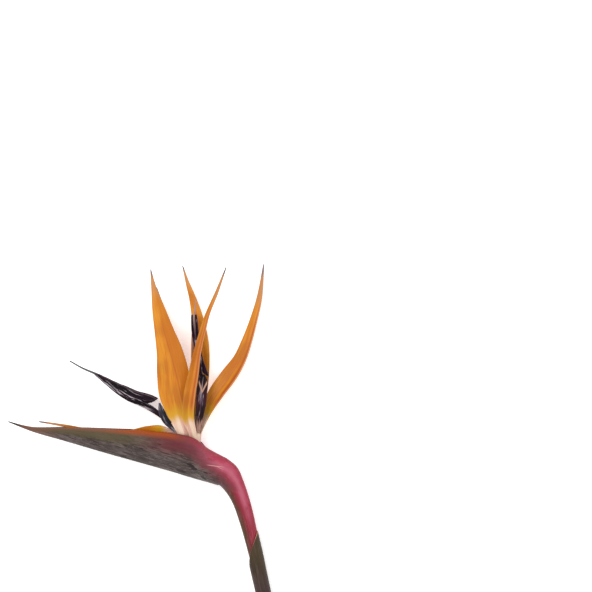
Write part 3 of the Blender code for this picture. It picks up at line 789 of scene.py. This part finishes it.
@dataclass
class Blade:
    """A long folded blade on a path of rows: x, y, z and half width, from its root to its tip."""

    node: str
    rows: tuple[Row, ...]
    foot: Row
    fold: float = 16.0
    facing: Point = (0.0, 0.0, 1.0)
    tip_facing: Point | None = None
    thick: float = 0.9
    fold_soft: float = 0.10
    fold_shift: float = 0.0
    cup: float = 0.06
    wave: float = 0.25
    wave_turns: float = 3.0
    curl_side: float = 0.0
    curl: float = 0.14
    flat_from: float = 0.2
    thin_edge: float = 0.62
    thin_tip: float = 0.45
    tangent_step: float = 0.012
    stations: int = 161
    columns: int = 41

    def length(self) -> float:
        """Return the length of the path from the first row to the last."""
        return float(run_length(np.array(self.rows)[:, :3])[-1])

    def table(self, u: Array) -> Array:
        """Catmull-Rom rows at u, which is 0 at the first row, 1 at the last, below 0 to the foot."""
        rows = np.array((self.foot, *self.rows))
        steps = len(self.rows) - 1
        return smooth_path(rows, (1.0 + u * steps) / (steps + 1.0))

    def first(self) -> float:
        """Return u at the foot."""
        return -1.0 / (len(self.rows) - 1)

    def frames(self, u: Array) -> tuple[Array, ...]:
        """Centre points and unit vectors; the normal is the facing made square to the tangent.

        Args:
            u: shares along.

        Returns:
            Centres, tangents, sides and normals, a row for each share.
        """
        centre = self.table(u)[:, :3]
        step = self.tangent_step
        tangent = unit(self.table(u + step)[:, :3] - self.table(u - step)[:, :3])
        t = np.clip(u, 0.0, 1.0)[:, None]
        facing = np.array(self.facing)[None] * np.ones_like(t)
        if self.tip_facing is not None:
            facing = facing * (1.0 - t) + np.array(self.tip_facing)[None] * t
        normal = unit(facing - tangent * (facing * tangent).sum(1, keepdims=True))
        return centre, tangent, np.cross(tangent, normal), normal

    def crease(self, u: Array) -> Array:
        """Return where the fold stands across the blade, 0 at its middle."""
        return self.fold_shift * (1.0 - soft_step(u / 0.6)) * soft_step((u + 0.05) / 0.2)

    def section(self, u: Array, v: Array) -> tuple[Array, Array]:
        """Distances to the side and along the normal: a rounded V, cupped, waved and curled.

        Args:
            u: shares along, as a column.
            v: shares across -1..1, as a row.

        Returns:
            Sideways and normal distances, rows x columns.
        """
        width = self.table(u[:, 0])[:, 3:]
        fold = math.radians(self.fold) * np.minimum(1.0, (1.0 - u) / self.flat_from)
        rise = np.sqrt((v - self.crease(u)) ** 2 + self.fold_soft ** 2) - self.fold_soft
        ripple = np.sin(FULL_TURN * self.wave_turns * u + v)
        out = width * (rise * np.sin(fold) + self.cup * v ** 2)
        out = out + self.wave * ripple * np.abs(v) ** 3 * np.clip(width / 4.0, 0.0, 1.0)
        if self.curl_side:
            out = out + self.curl * width * soft_step((v * self.curl_side - 0.72) / 0.28)
        return v * width * np.cos(fold), out

    def shape(self, name: str) -> Piece:
        """Build the blade, thick at the rib and thinner towards its edges and its tip.

        Args:
            name: the piece's name.

        Returns:
            The closed sheet.
        """
        u = np.linspace(self.first(), 1.0, self.stations)
        v = np.linspace(-1.0, 1.0, self.columns)[None]
        across, out = self.section(u[:, None], v)
        thick = self.thick * (1.0 - self.thin_edge * v ** 2) * (1.0 - self.thin_tip * np.abs(u[:, None]))
        skin = (across, v - self.crease(u[:, None]))
        return self.finish(name, u, v, (across, out, np.zeros_like(out)), skin, thick)

    def finish(self, name: str, u: Array, v: Array, moves: tuple[Array, Array, Array],
               skin: tuple[Array, Array], thick: Array) -> Piece:
        """Close the sheet whose points are centre + side * across + normal * out - tangent * back.

        Args:
            name: the piece's name.
            u: shares along, one a row.
            v: shares across -1..1, as a row.
            moves: across, out and back, rows x columns.
            skin: the grain's two numbers across, a distance and the share from the fold.
            thick: rows x columns thicknesses.

        Returns:
            The closed sheet.
        """
        across, out, back = (move[..., None] for move in moves)
        centre, tangent, side, normal = (vectors[:, None] for vectors in self.frames(u))
        middle = centre + side * across + normal * out - tangent * back
        uv = np.stack(np.broadcast_arrays(np.clip(u[:, None], 0.0, 1.0), (v + 1.0) * 0.5), axis=-1)
        grain = np.stack(np.broadcast_arrays(u[:, None] * self.length(), *skin), axis=-1)
        return sheet(name, Grid(middle, uv, grain), thick)


@dataclass
class Arrow(Blade):
    """Two fused petals: a narrow folded claw that carries a grooved arrowhead with barbs."""

    limb: tuple[float, ...] = (8.0, 2.0)
    barb_at: float = 0.5
    barb_back: float = 10.0
    barb_blunt: float = 0.6
    barb_gap: float = 0.006
    barb_fade: float = 0.45
    barb_power: float = 1.7
    pleats: float = 0.12
    pleat_pitch: float = 3.2
    claw_rows: float = 0.45
    claw_rim: float = 0.3
    thin_edge: float = 0.55
    columns: int = 65

    def shape(self, name: str) -> Piece:
        """Build the petals: inner half of the columns on the claw, outer half on the barb.

        Past the barb's place the outer columns spread to the limb's width, and slide back
        along the claw by a power of their distance from it. The slide fades as a power too.

        Args:
            name: the piece's name.

        Returns:
            The closed sheet.
        """
        near = int(self.stations * self.claw_rows)
        u = np.concatenate([np.linspace(self.first(), self.barb_at - self.barb_gap, near),
                            np.linspace(self.barb_at, 1.0, self.stations - near)])
        v = np.linspace(-1.0, 1.0, self.columns)[None]
        head = (u >= self.barb_at)[:, None]
        past = np.clip((u - self.barb_at) / (1.0 - self.barb_at), 0.0, 1.0)[:, None]
        claw = self.table(u)[:, 3:]
        wide = smooth_path(self.limb, past[:, 0])[:, None]
        outer = np.where(head, wide, claw + self.claw_rim)
        inner = np.minimum(claw, outer * 0.5)
        share = np.maximum(0.0, np.abs(v) * 2.0 - 1.0)
        offset = inner * np.minimum(np.abs(v) * 2.0, 1.0) + (outer - inner) * share
        fade = np.maximum(0.0, 1.0 - past / self.barb_fade) ** self.barb_power
        back = np.where(head, self.barb_back * fade * share ** self.barb_blunt, 0.0)
        fold = math.radians(self.fold) * np.minimum(1.0, (1.0 - u) / self.flat_from)[:, None]
        pleat = self.pleats * np.sin(offset * self.pleat_pitch) * np.clip(offset - 0.6, 0.0, 1.0)
        across = np.sign(v) * offset * np.cos(fold) - np.sign(v) * pleat * np.sin(fold)
        out = offset * np.sin(fold) + pleat * np.cos(fold)
        thick = self.thick * (1.0 - self.thin_edge * np.abs(v)) * np.ones_like(across)
        skin = (np.sign(v) * offset, v)
        return self.finish(name, u, v, (across, out, back), skin, thick)


@dataclass
class Strand:
    """A thin round strand in an arrow's groove, and on to its free end."""

    arrow: Arrow
    start: float
    end: float
    rise: float
    radii: tuple[float, ...]
    free_end: tuple[Point, ...] = ()
    knots: float = 0.0

    def shape(self, name: str) -> Piece:
        """Build a tube of circles round a smooth path, its radius read along the path.

        The knots swell it by the product of two sines of the share along.

        Args:
            name: the piece's name.

        Returns:
            The closed tube.
        """
        centre, _, _, normal = self.arrow.frames(np.linspace(self.start, self.end, 4))
        points = centre + normal * self.rise
        if self.free_end:
            points = np.concatenate([points, np.array(self.free_end)])
        at = np.linspace(0.0, 1.0, 80)
        path = smooth_path(points, at)
        axes = square_axes(unit(np.gradient(path, axis=0)))
        radius = np.interp(at, np.linspace(0, 1, len(self.radii)), self.radii)
        radius = radius * (1.0 + self.knots * np.sin(at * 46.0) * np.sin(at * 17.0))
        turn = around(16)
        circle = (radius[:, None] * np.cos(turn), radius[:, None] * np.sin(turn))
        return tube(name, path, axes, circle, (at, turn / FULL_TURN), at * 30.0)


SEPALS = (
    Blade("sepal_left", foot=(-3.4, 7.5, 12.6, 3.4), fold=12.0, facing=(0.0, 0.0, -1.0), fold_shift=-0.72,
          fold_soft=0.07,
          rows=((-4.8, 13.4, 16.0, 4.5), (-8.6, 27.0, 17.4, 8.2), (-11.5, 42.0, 18.9, 11.6),
                (-12.4, 57.0, 20.3, 12.2), (-14.6, 73.0, 21.5, 10.1), (-18.5, 88.7, 22.6, 7.5),
                (-22.3, 104.0, 23.6, 5.2), (-25.8, 120.0, 24.4, 2.3), (-28.4, 135.4, 24.9, 0.3))),
    Blade("sepal_rear", foot=(-4.4, 7.0, 8.6, 2.6), fold=10.0,
          rows=((-4.6, 13.4, 6.4, 3.7), (-9.0, 31.0, 6.0, 7.6), (-11.8, 49.0, 5.6, 9.2),
                (-14.2, 67.0, 5.3, 8.2), (-18.0, 86.0, 5.0, 5.8), (-22.0, 104.0, 4.7, 3.2),
                (-25.6, 122.0, 4.4, 0.3))),
    Blade("sepal_slit", foot=(-4.5, 9.5, 11.0, 1.6), fold=66.0, facing=(0.0, 1.0, 0.0), cup=0.0, wave=0.0,
          flat_from=0.02,
          rows=((-9.5, 11.6, 11.0, 2.4), (-22.0, 10.8, 11.0, 8.8), (-34.0, 11.2, 11.0, 7.6),
                (-46.0, 12.0, 11.0, 3.6), (-62.0, 13.4, 11.0, 2.2), (-78.0, 14.9, 11.0, 1.8),
                (-94.0, 17.5, 11.0, 1.9), (-114.0, 21.1, 11.0, 0.8))),
    Blade("sepal_back", foot=(4.8, 7.0, 8.4, 2.6), fold=10.0,
          rows=((5.2, 13.0, 6.2, 3.5), (6.0, 30.0, 4.8, 4.6), (7.0, 47.0, 4.2, 6.2),
                (7.4, 63.0, 3.9, 7.0), (7.1, 80.0, 3.6, 6.7), (5.4, 97.0, 3.3, 4.7),
                (2.0, 112.0, 3.2, 2.9), (-2.6, 126.0, 2.9, 1.4), (-6.2, 138.5, 2.6, 0.3))),
    Blade("sepal_front", foot=(1.6, 6.5, 12.0, 2.6), fold=28.0, facing=(0.2, 0.0, 1.0), curl_side=1.0,
          curl=0.1,
          rows=((1.8, 13.1, 15.2, 3.2), (-1.3, 26.0, 18.8, 4.7), (-0.1, 42.0, 20.6, 4.9),
                (2.7, 57.0, 21.6, 4.4), (5.5, 72.0, 22.2, 3.3), (9.2, 87.0, 22.6, 2.6),
                (13.8, 102.5, 23.0, 1.9), (20.4, 118.0, 23.2, 1.4), (27.6, 137.0, 23.3, 0.35))),
    Blade("sepal_right", foot=(5.4, 6.5, 10.0, 2.0), fold=20.0, facing=(-0.5, 0.3, 0.8),
          tip_facing=(0.0, 0.0, 1.0), curl_side=1.0, curl=0.16,
          rows=((7.6, 13.2, 9.4, 2.5), (13.9, 29.6, 8.2, 5.6), (21.2, 42.6, 7.2, 7.4),
                (30.2, 55.2, 6.0, 7.4), (37.5, 67.3, 4.8, 5.6), (42.7, 81.0, 3.6, 4.5),
                (47.6, 97.0, 2.6, 3.2), (52.0, 115.0, 1.7, 2.1), (55.0, 139.6, 0.85, 0.3))),
)

ARROWS = (
    Arrow("arrow_first", foot=(-4.6, 9.5, 10.6, 1.4), fold=62.0, facing=(0.5, 0.87, 0.0), thick=0.8,
          limb=(11.6, 10.6, 9.6, 7.2, 4.6, 1.8), barb_at=0.5, barb_back=11.0, barb_blunt=0.32,
          flat_from=0.03,
          rows=((-8.2, 13.8, 10.0, 2.0), (-15.5, 19.2, 10.0, 2.8), (-22.8, 24.6, 10.1, 3.2),
                (-30.6, 29.6, 10.2, 4.0), (-38.5, 33.6, 10.3, 4.0), (-46.6, 37.0, 10.4, 3.6),
                (-55.0, 42.4, 10.4, 3.0), (-63.4, 49.4, 10.5, 2.0), (-71.6, 56.6, 10.6, 0.6))),
    Arrow("arrow_second", foot=(4.8, 7.0, 11.0, 1.4), fold=30.0, thick=0.8,
          limb=(8.1, 4.6, 3.3, 3.1, 2.7, 2.1), barb_at=0.5, barb_back=5.4, barb_blunt=0.5,
          rows=((5.2, 13.2, 10.8, 2.0), (6.6, 28.0, 11.0, 2.6), (7.6, 42.0, 11.2, 2.8),
                (7.4, 54.0, 11.4, 2.8), (6.3, 66.0, 11.6, 2.6), (5.0, 79.0, 11.9, 2.2),
                (3.7, 91.0, 12.1, 1.8), (3.0, 101.5, 12.3, 1.4))),
)

HOODS = (
    Blade("hood_first", foot=(-4.6, 10.0, 12.6, 1.0), fold=16.0, thick=0.8, stations=81, columns=25,
          rows=((-8.4, 13.6, 13.5, 1.7), (-13.2, 17.5, 13.7, 2.3), (-18.0, 22.6, 13.9, 2.7),
                (-20.9, 28.8, 13.8, 2.5), (-22.9, 35.4, 13.7, 0.7))),
    Blade("hood_second", foot=(5.8, 8.5, 12.6, 0.8), fold=14.0, thick=0.8, stations=81, columns=25,
          rows=((6.2, 13.3, 13.6, 1.0), (6.8, 20.0, 13.9, 1.9), (7.6, 27.0, 14.3, 3.0),
                (8.5, 35.0, 14.8, 3.9), (9.2, 43.0, 15.2, 4.0), (10.0, 51.5, 15.4, 3.6),
                (10.5, 56.6, 15.4, 1.1))),
)


# ---------------------------------------------------------------- stalk, sheath, spathe


@dataclass
class Stalk:
    """The peduncle with its bent neck, down to the cut end."""

    path: tuple[Point, ...] = (
        (74.4, -196.0, 6.05), (64.2, -150.0, 6.05), (54.2, -104.0, 6.05), (46.2, -68.0, 6.5),
        (41.7, -50.0, 7.4), (38.0, -38.0, 8.7), (33.5, -27.8, 9.9), (28.1, -19.4, 10.6),
        (22.4, -15.9, 11.0))
    in_plane: tuple[float, ...] = (4.0, 4.0, 4.1, 5.2, 6.0, 6.6, 7.8, 9.7, 10.9)
    across: tuple[float, ...] = (3.9, 3.9, 3.9, 4.5, 5.1, 5.6, 6.6, 8.3, 9.3)
    joint_heading: float = 150.0
    plug_ahead: Point = (0.7, 2.0, 2.6)
    plug_less: Point = (0.12, 0.12, 2.0)

    def frames(self, at: Array) -> tuple[Array, ...]:
        """Centres and unit vectors; over the last eighth the tangent turns square to the joint.

        Args:
            at: shares along the path.

        Returns:
            Centres, tangents, sides and ups, a row for each share.
        """
        centre = smooth_path(self.path, at)
        ahead = smooth_path(self.path, np.minimum(at + 0.01, 1.0))
        behind = smooth_path(self.path, np.maximum(at - 0.01, 0.0))
        tangent = unit(ahead - behind)
        turn = math.radians(self.joint_heading)
        square = np.array([math.cos(turn), math.sin(turn), 0.0])
        share = np.clip(at * 8.0 - 7.0, 0.0, 1.0)[:, None]
        tangent = unit(tangent * (1.0 - share) + square * share)
        return centre, tangent, *square_axes(tangent)

    def shape(self, name: str) -> Piece:
        """Build ellipses along the path, and a short plug on into the spathe.

        The second UV is 0 on the inner side of the bend and 1 on its outer side.

        Args:
            name: the piece's name.

        Returns:
            The closed tube.
        """
        at = np.linspace(0.0, 1.0, 150)
        centre, tangent, side, up = self.frames(at)
        long, wide = smooth_path(self.in_plane, at), smooth_path(self.across, at)
        ahead, less = np.array(self.plug_ahead), np.array(self.plug_less)
        centre = np.concatenate([centre, centre[-1:] + tangent[-1:] * ahead[:, None]])
        side, up = (np.concatenate([axis, np.repeat(axis[-1:], 3, axis=0)]) for axis in (side, up))
        long, wide = np.append(long, long[-1] - less), np.append(wide, wide[-1] - less)
        at = np.append(at, [1.0, 1.0, 1.0])
        turn = around(64)
        x, y = long[:, None] * np.cos(turn), wide[:, None] * np.sin(turn)
        shares = (at, 0.5 - 0.5 * np.cos(turn))
        return tube(name, centre, (side, up), (x, y), shares, run_length(centre), 40.0)


@dataclass
class Sheath:
    """The bract wound once and a bit round the lower stem, with a pointed top."""

    stalk: Stalk
    turn: float = 400.0
    margin: float = 165.0
    outer: float = 5.85
    pitch: float = 0.95
    tip_at: float = 0.404
    drop: float = 0.168
    tip_place: float = 0.41
    thick: float = 0.6
    stem_lower: float = 3.9
    ease: float = 0.45
    ease_at: Pair = (0.32, 0.40)
    drop_power: float = 1.35
    margin_share: float = 42.0
    top_share: float = 140.0
    grain_length: float = 410.0

    def shape(self, name: str) -> Piece:
        """Build a spiral sheet: its radius falls with the turn, its top falls from the tip.

        The second UV is 1 at the margins and the top, and falls to 0 a short way in.

        Args:
            name: the piece's name.

        Returns:
            The closed sheet.
        """
        u = np.linspace(0.0, 1.0, 110)[:, None]
        v = np.linspace(0.0, 1.0, 121)[None]
        far = np.abs(v - self.tip_place) / (1.0 - self.tip_place)
        along = u * (self.tip_at - self.drop * far ** self.drop_power)
        flat = along.ravel()
        centre, _, side, up = self.stalk.frames(flat)
        wide = smooth_path(self.stalk.across, flat)
        radius = self.outer - self.pitch * np.broadcast_to(v, along.shape).ravel() + wide
        start, end = self.ease_at
        eased = self.ease * soft_step((flat - start) / (end - start))
        radius = radius - self.stem_lower - eased
        angle = math.radians(self.margin) - math.radians(self.turn) * v
        angle = np.broadcast_to(angle, along.shape).ravel()
        x, y = radius * np.cos(angle), radius * np.sin(angle)
        middle = centre - side * x[:, None] + up * y[:, None]
        shape = along.shape
        middle = middle.reshape(*shape, 3)
        to_side = np.minimum(v, 1.0 - v) * self.margin_share
        edge = 1.0 - np.minimum(to_side, (1.0 - u) * self.top_share)
        edge = np.clip(np.broadcast_to(edge, shape), 0.0, 1.0)
        uv = np.stack([along, edge], axis=-1)
        grain = np.stack([along * self.grain_length, x.reshape(shape), y.reshape(shape)], axis=-1)
        return sheet(name, Grid(middle, uv, grain), np.full(shape, self.thick))


@dataclass
class Spathe:
    """The folded, hollow, boat-shaped bract that the florets rise from."""

    rim: tuple[Pair, ...] = (
        (27.8, -6.4), (13.4, 1.2), (8.2, 5.8), (1.5, 10.0), (-11.0, 12.8), (-34.0, 14.9),
        (-62.0, 16.0), (-92.0, 17.1), (-118.0, 17.3), (-136.5, 21.6))
    keel: tuple[Pair, ...] = (
        (16.9, -25.3), (9.0, -23.2), (3.5, -21.6), (-4.0, -19.4), (-14.0, -16.3),
        (-36.0, -10.1), (-64.0, -2.2), (-94.0, 6.6), (-118.0, 13.5), (-136.5, 20.8))
    half_width: tuple[float, ...] = (9.4, 11.2, 12.1, 12.4, 12.0, 10.4, 7.6, 4.6, 2.1, 0.6)
    slit: tuple[float, ...] = (0.0, 0.05, 3.2, 5.7, 5.7, 4.2, 2.9, 1.8, 0.7, 0.05)
    floor_lift: tuple[float, ...] = (1.6, 1.6, 1.6, 1.6, 1.6, 1.6, 1.5, 1.6, 2.0, 0.5)
    wall: float = 1.2
    rows: int = 260
    side_points: int = 34
    oval_until: float = 0.24
    grain_start: float = 200.0

    def flank(self, at: Array, t: Array, inner: bool) -> tuple[Array, Array]:
        """Half width and height share of the flank.

        Near the neck the section is half an ellipse. Further on it is a fold: a swell of
        sin(pi t^1.05)^0.8 with the lips of the slit added as t^1.5.

        Args:
            at: shares along, as a column.
            t: shares from keel 0 to rim 1, as a row.
            inner: whether this is the inner side of the wall.

        Returns:
            Half width and height share, rows x columns.
        """
        knots = np.linspace(0.0, 1.0, len(self.slit))
        half = smooth_path(self.half_width, at[:, 0])[:, None]
        gap = np.interp(at[:, 0], knots, self.slit)[:, None]
        wall = np.minimum(self.wall, 0.15 + 0.5 * half)
        lip = gap + wall * np.minimum(1.0, gap / 1.5)
        swell = np.maximum(half - 0.45 * lip, 0.0)
        bulge = np.sin(math.pi * np.clip(t, 0.0, 1.0) ** 1.05).clip(0.0) ** 0.8
        fold = np.minimum(swell * bulge + lip * t ** 1.5, SPATHE_AXIS_Z)
        share = soft_step(at / self.oval_until)
        round_half = half * np.sin(math.pi * t).clip(0.0)
        width = np.minimum(round_half * (1.0 - share) + fold * share, SPATHE_AXIS_Z)
        height = (0.5 - 0.5 * np.cos(math.pi * t)) * (1.0 - share) + t * share
        if inner:
            width = np.where(t > 0.0, np.maximum(width - wall, 0.12 * t), 0.0)
        return width, height

    def shape(self, name: str) -> Piece:
        """Build the closed U-shaped wall: outer side down and up, then the inner side back.

        Args:
            name: the piece's name.

        Returns:
            The closed wall.
        """
        at = np.linspace(0.0, 1.0, self.rows)[:, None]
        half = np.linspace(0.0, 1.0, self.side_points)[None]
        rim, keel = smooth_path(self.rim, at[:, 0]), smooth_path(self.keel, at[:, 0])
        span = np.linalg.norm(rim - keel, axis=1)
        lift = smooth_path(self.floor_lift, at[:, 0]) / span
        floor = keel + (rim - keel) * np.minimum(lift, 0.75)[:, None]
        points, heights, widths = [], [], []
        for inner in (False, True):
            width, height = self.flank(at, half, inner)
            low = floor if inner else keel
            flat = low[:, None] + (rim - low)[:, None] * height[..., None]
            sign = -1.0 if inner else 1.0
            for mirror in (1.0, -1.0):
                part = slice(None, None, -1) if mirror > 0 else slice(1, None)
                side = (mirror * sign * width)[:, part, None]
                points.append(np.concatenate([flat[:, part], SPATHE_AXIS_Z + side], axis=-1))
                heights.append(height[:, part])
                widths.append(side[..., 0])
        rings, share, side = (np.concatenate(grids, axis=1) for grids in (points, heights, widths))
        run = np.broadcast_to(self.grain_start + run_length(rim)[:, None], share.shape)
        grain = np.stack([run, share * span[:, None], side], axis=-1)
        uv = np.stack([np.broadcast_to(at, share.shape), share], axis=-1)
        return self.close(name, Grid(rings, uv, grain))

    @staticmethod
    def close(name: str, grid: Grid) -> Piece:
        """Return the grid's rings joined along the spathe, with strips across the wall at both ends."""
        rows, columns = grid.points.shape[:2]
        faces = [loop_faces(rows, columns)[:, [0, 3, 2, 1]]]
        j = np.arange(columns // 2 - 1)
        back = columns - 1 - j
        end = (rows - 1) * columns
        faces.append(np.stack([j, j + 1, back - 1, back], axis=1))
        faces.append(np.stack([j, back, back - 1, j + 1], axis=1) + end)
        return make_mesh(name, grid.flat(), np.concatenate(faces), 50.0)


@dataclass
class FloretBase:
    """The pale floral tube that carries one floret's sepals."""

    node: str
    foot: Point
    top: Point
    half_x: float = 3.75
    half_z: float = 4.7
    ridges: int = 6

    def shape(self, name: str) -> Piece:
        """Build an oval tube with soft ridges, domed at its top.

        The radius grows evenly from 0.86 to 1, and falls as a quarter circle past 0.78.

        Args:
            name: the piece's name.

        Returns:
            The closed tube.
        """
        at = np.linspace(0.0, 1.0, 40)
        foot, top = np.array(self.foot), np.array(self.top)
        path = foot + (top - foot) * at[:, None]
        path[:, 1] += np.clip(at - 0.8, 0, 1) * 9.0
        axes = square_axes(unit(np.gradient(path, axis=0)))
        swell = (0.86 + 0.14 * at) * np.sqrt(np.clip(1.0 - ((at - 0.78) / 0.23).clip(0) ** 2, 0.02, 1))
        turn = around(48)
        ridge = 1.0 + 0.03 * np.cos(self.ridges * turn)
        x = self.half_x * swell[:, None] * (ridge * np.cos(turn))[None]
        y = self.half_z * swell[:, None] * (ridge * np.sin(turn))[None]
        return tube(name, path, axes, (x, y), (at, turn / FULL_TURN), at * 9.0)


BASES = (FloretBase("floret_base_first", (-3.6, 4.3, 11.0), (-4.6, 12.7, 11.0)),
         FloretBase("floret_base_second", (4.3, 2.2, 11.0), (4.7, 12.4, 11.0)))


# ---------------------------------------------------------------- assembly


@dataclass
class Flower:
    """Every piece of the flower head, built and dressed in order."""

    finishes: dict[str, Material] = field(default_factory=dict)

    def dress(self, piece: Piece, node: str) -> None:
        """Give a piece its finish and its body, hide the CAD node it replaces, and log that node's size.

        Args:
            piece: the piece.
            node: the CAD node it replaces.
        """
        piece.data.materials.append(self.finishes[node])
        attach(piece, "root")
        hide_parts(node)
        low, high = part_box(node)
        size = [round((b - a) * TO_MM, 1) for a, b in zip(low, high)]
        log.info("%s: %d faces, for a solid of %s mm", piece.name, len(piece.data.polygons), size)

    def mix_finishes(self) -> None:
        """Make every node's finish."""
        anther = StrandFinish("stamen_skin", (0.16, 0.09, 0.11), (0.30, 0.20, 0.22)).build()
        self.finishes = {
            **dict.fromkeys(("floret_base_first", "floret_base_second"), FleshFinish().build()),
            **dict.fromkeys(("sepal_rear", "sepal_slit", "sepal_back"),
                            SepalFinish("sepal_plain").build()),
            **dict.fromkeys(("stamens_first", "stamens_second"), anther),
            "stem": StalkFinish("stem_and_neck").build(),
            "spathe": StalkFinish("spathe_flank").build(),
            "sheath": SheathFinish().build(),
            # Painted shade over the minus half of this sepal.
            "sepal_left": SepalFinish("sepal_shaded_half", painted_shade_side=Side.MINUS, painted_shade_share=0.8).build(),
            # Painted shade over the plus half of this sepal, and a painted shade line inside its rim.
            "sepal_front": SepalFinish("sepal_channel_shade", rim_side=Side.PLUS, painted_shade_side=Side.PLUS,
                                       painted_shade_share=0.5, rim_share=0.3).build(),
            # A painted shade line runs inside this sepal's pale rim.
            "sepal_right": SepalFinish("sepal_rimmed", rim_side=Side.PLUS).build(),
            # The streaks of the petal finishes are painted highlights.
            "arrow_first": PetalFinish("arrow_painted_glints").build(),
            "arrow_second": PetalFinish("arrow_plum", dark=(0.010, 0.003, 0.009),
                                        plum=(0.040, 0.008, 0.022), painted_glint_share=0.45,
                                        foot_end=11.0).build(),
            "hood_first": PetalFinish("hood_grey", dark=(0.008, 0.007, 0.012),
                                      plum=(0.052, 0.050, 0.066), painted_glint_share=0.5,
                                      painted_glint_from=0.0, foot_end=2.0).build(),
            "hood_second": PetalFinish("hood_plum", dark=(0.008, 0.003, 0.005),
                                       plum=(0.060, 0.010, 0.018), painted_glint_share=0.5,
                                       painted_glint_from=-0.2, foot_end=11.0, crest=True).build(),
            "style_first": StrandFinish("style_skin", (0.020, 0.018, 0.024),
                                        (0.075, 0.070, 0.070), 0.4).build(),
            "style_second": StrandFinish("style_mauve", (0.045, 0.018, 0.032),
                                         (0.34, 0.20, 0.17)).build(),
        }

    def pieces(self) -> list[tuple[str, Slot, Any]]:
        """Return each piece's CAD node, its slot and what shapes it, in building order."""
        stalk = Stalk()
        first, second = ARROWS
        style_first = Strand(first, 0.80, 0.97, 1.3, (0.6, 0.9, 1.05, 0.75, 0.45),
                             ((-80.5, 61.2, 10.6), (-90.6, 66.9, 10.6)))
        style_second = Strand(second, 0.72, 0.97, 2.1, (0.5, 0.7, 0.8, 0.6, 0.35),
                              ((3.9, 106.0, 14.2), (4.9, 113.6, 14.4)))
        stamens_first = Strand(first, 0.55, 0.80, 3.1, (0.6, 0.8, 0.6), knots=0.25)
        stamens_second = Strand(second, 0.56, 0.76, 2.2, (0.6, 0.8, 0.5), knots=0.25)
        groups = ((Slot.FLESH, BASES), (Slot.SEPAL, SEPALS), (Slot.ARROW, ARROWS), (Slot.HOOD, HOODS))
        return [
            ("stem", Slot.STEM, stalk),
            ("sheath", Slot.SHEATH, Sheath(stalk)),
            ("spathe", Slot.SPATHE, Spathe()),
            *[(form.node, slot, form) for slot, forms in groups for form in forms],
            ("style_first", Slot.STYLE, style_first),
            ("style_second", Slot.STYLE, style_second),
            ("stamens_first", Slot.STAMEN, stamens_first),
            ("stamens_second", Slot.STAMEN, stamens_second),
        ]

    def build(self) -> None:
        """Build and dress every piece."""
        self.mix_finishes()
        for node, slot, form in self.pieces():
            self.dress(form.shape(node + "_dressed"), node)


@dataclass
class Studio:
    """White floor, soft light and a camera that looks straight down."""

    centre: Pair = (0.0795, 0.1155)
    view_width: float = 0.444
    camera_height: float = 1.30
    sensor: float = 36.0
    subject_height: float = 0.012
    floor_half: float = 1.5
    floor_z: float = -0.0003
    floor_look: tuple[tuple[str, Any], ...] = (
        ("Base Color", (0.97, 0.97, 0.97)), ("Roughness", 0.9),
        ("Emission Color", (1.0, 1.0, 1.0)), ("Emission Strength", 0.4))
    world_strength: float = 0.80
    lights: tuple[tuple[str, Point, float, float], ...] = (
        ("key", (-0.6, 0.5, 1.1), 0.7, 9.0), ("fill", (0.8, -0.2, 0.9), 0.9, 2.0))

    @staticmethod
    def put(name: str, data: Any, place: Point = (0.0, 0.0, 0.0)) -> Piece:
        """Return a new object of the data, linked to the scene at the place."""
        holder = bpy.data.objects.new(name, data)
        holder.location = place
        bpy.context.scene.collection.objects.link(holder)
        return holder

    def lay_floor(self) -> None:
        """Lay the white floor just under the flower."""
        mesh = bpy.data.meshes.new("floor")
        s, z = self.floor_half, self.floor_z
        mesh.from_pydata([(-s, -s, z), (s, -s, z), (s, s, z), (-s, s, z)], [], [(0, 1, 2, 3)])
        kit = Kit("floor_paper")
        for socket, value in self.floor_look:
            kit.feed(kit.shader.inputs[socket], value)
        mesh.materials.append(kit.material)
        floor = self.put("floor", mesh)

    def light(self) -> None:
        """Set the white world, and square soft lights that face the origin."""
        world = bpy.data.worlds.new("soft_world")
        world.use_nodes = True
        background = world.node_tree.nodes["Background"]
        background.inputs[0].default_value = (1.0, 1.0, 1.0, 1.0)
        background.inputs[1].default_value = self.world_strength
        bpy.context.scene.world = world
        for name, place, size, power in self.lights:
            data = bpy.data.lights.new(name, "AREA")
            data.size = size
            data.energy = power
            lamp = self.put(name, data, place)
            lamp.rotation_euler = (-Vector(place)).to_track_quat("-Z", "Y").to_euler()

    def build(self) -> None:
        """Build the floor, the lights and the camera."""
        self.lay_floor()
        self.light()
        camera = bpy.data.cameras.new("camera")
        camera.sensor_width = self.sensor
        camera.lens = self.sensor * (self.camera_height - self.subject_height) / self.view_width
        camera.clip_start = 0.05
        scene = bpy.context.scene
        scene.camera = self.put("camera", camera, (*self.centre, self.camera_height))
        scene.view_settings.view_transform = "Standard"


def main() -> None:
    """Build the flower, then the studio round it."""
    Flower().build()
    Studio().build()


if __name__ == "__main__":
    main()
